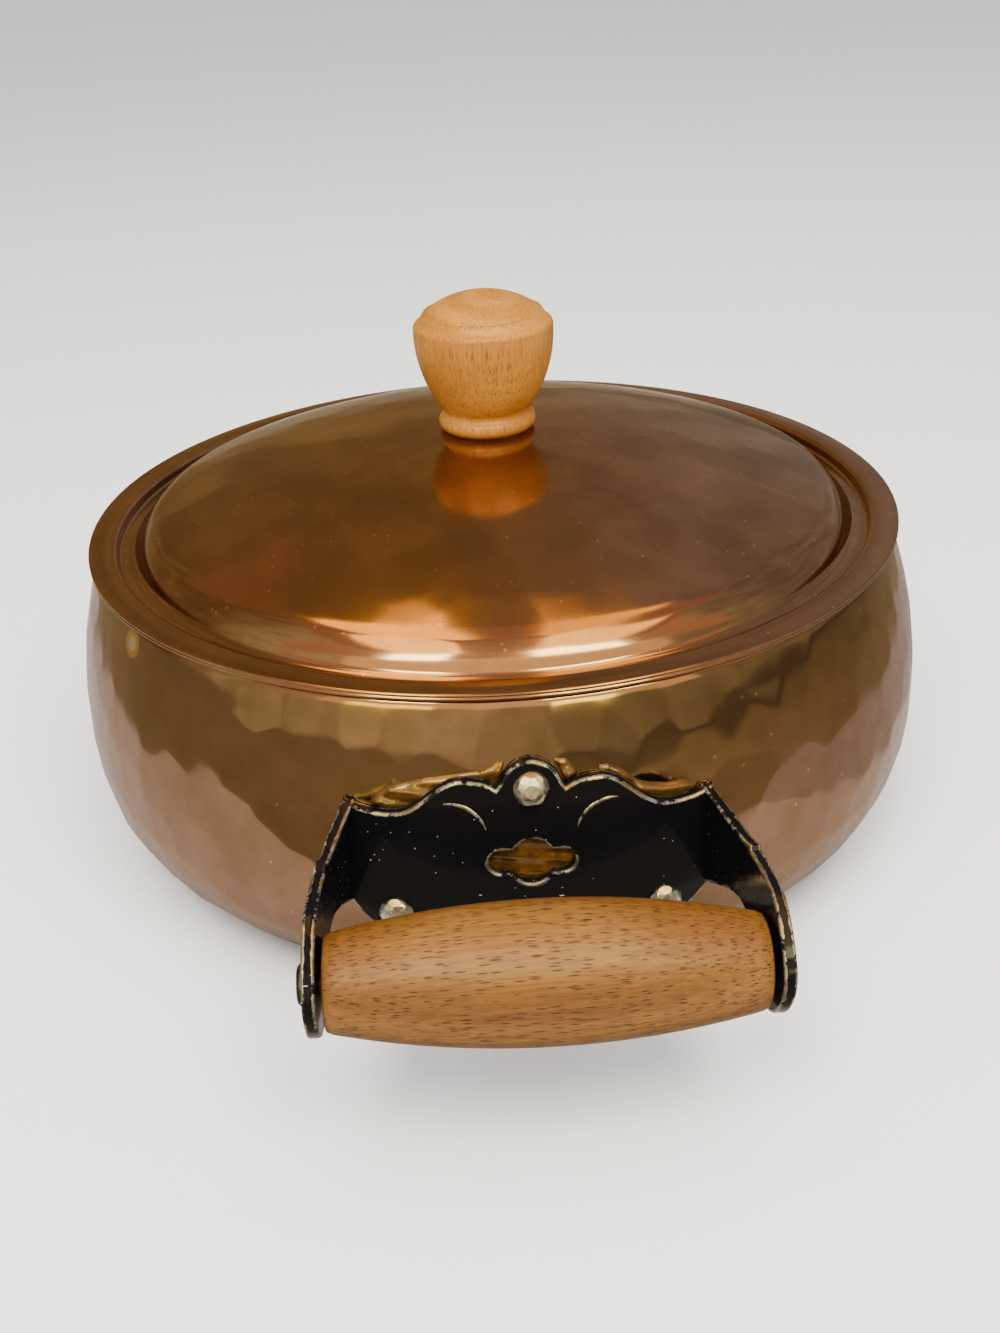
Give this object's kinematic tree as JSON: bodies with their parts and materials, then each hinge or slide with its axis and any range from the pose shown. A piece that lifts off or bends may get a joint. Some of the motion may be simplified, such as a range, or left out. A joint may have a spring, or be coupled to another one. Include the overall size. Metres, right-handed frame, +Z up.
{
  "type": "copper casserole pot",
  "caption": "Round-bellied hammered copper casserole with a flanged domed lid, a turned wooden knob and wooden grips in black riveted brackets.",
  "frame": {"origin": "centre of the base, on the surface the pot stands on", "axes": "+Z up along the pot's axis, -Y towards the front handle, +Y towards the rear handle, X along the grips"},
  "size_m": [0.256, 0.3626, 0.1598],
  "materials": {
    "copper": "hammered copper, glossy, browned with age",
    "tin": "wiped tin, dull",
    "black_enamel": "glossy black enamel on stamped steel, worn at the edges",
    "grip_wood": "oiled turned hardwood, satin",
    "knob_wood": "pale turned hardwood, satin",
    "rivet_steel": "hammered soft steel",
    "rod_steel": "plain steel, peened ends",
    "screw_steel": "plated steel"
  },
  "bodies": {
    "pot": {"pot_body": "copper", "pot_tin_lining": "tin", "front_handle_bracket": "black_enamel", "front_grip_rod": "rod_steel", "front_rivet_top": "rivet_steel", "front_rivet_left": "rivet_steel", "front_rivet_right": "rivet_steel", "rear_handle_bracket": "black_enamel", "rear_grip_rod": "rod_steel", "rear_rivet_top": "rivet_steel", "rear_rivet_left": "rivet_steel", "rear_rivet_right": "rivet_steel"},
    "lid": {"lid": "copper", "lid_tin_lining": "tin", "lid_knob": "knob_wood", "knob_washer": "screw_steel", "knob_screw": "screw_steel"},
    "front_grip": {"front_grip": "grip_wood"},
    "rear_grip": {"rear_grip": "grip_wood"}
  },
  "joints": [
    {"name": "lid_lift", "type": "slide", "parent": "pot", "child": "lid", "axis": [0, 0, 1], "range_m": [0, 0.15]},
    {"name": "front_grip_turn", "type": "hinge", "parent": "pot", "child": "front_grip", "pos_m": [-0.00014, -0.1653, 0.0514], "axis": [0.9995, 0, -0.0314], "continuous": true},
    {"name": "rear_grip_turn", "type": "hinge", "parent": "pot", "child": "rear_grip", "pos_m": [0.00014, 0.1653, 0.0514], "axis": [0.9995, 0, 0.0314], "continuous": true}
  ]
}
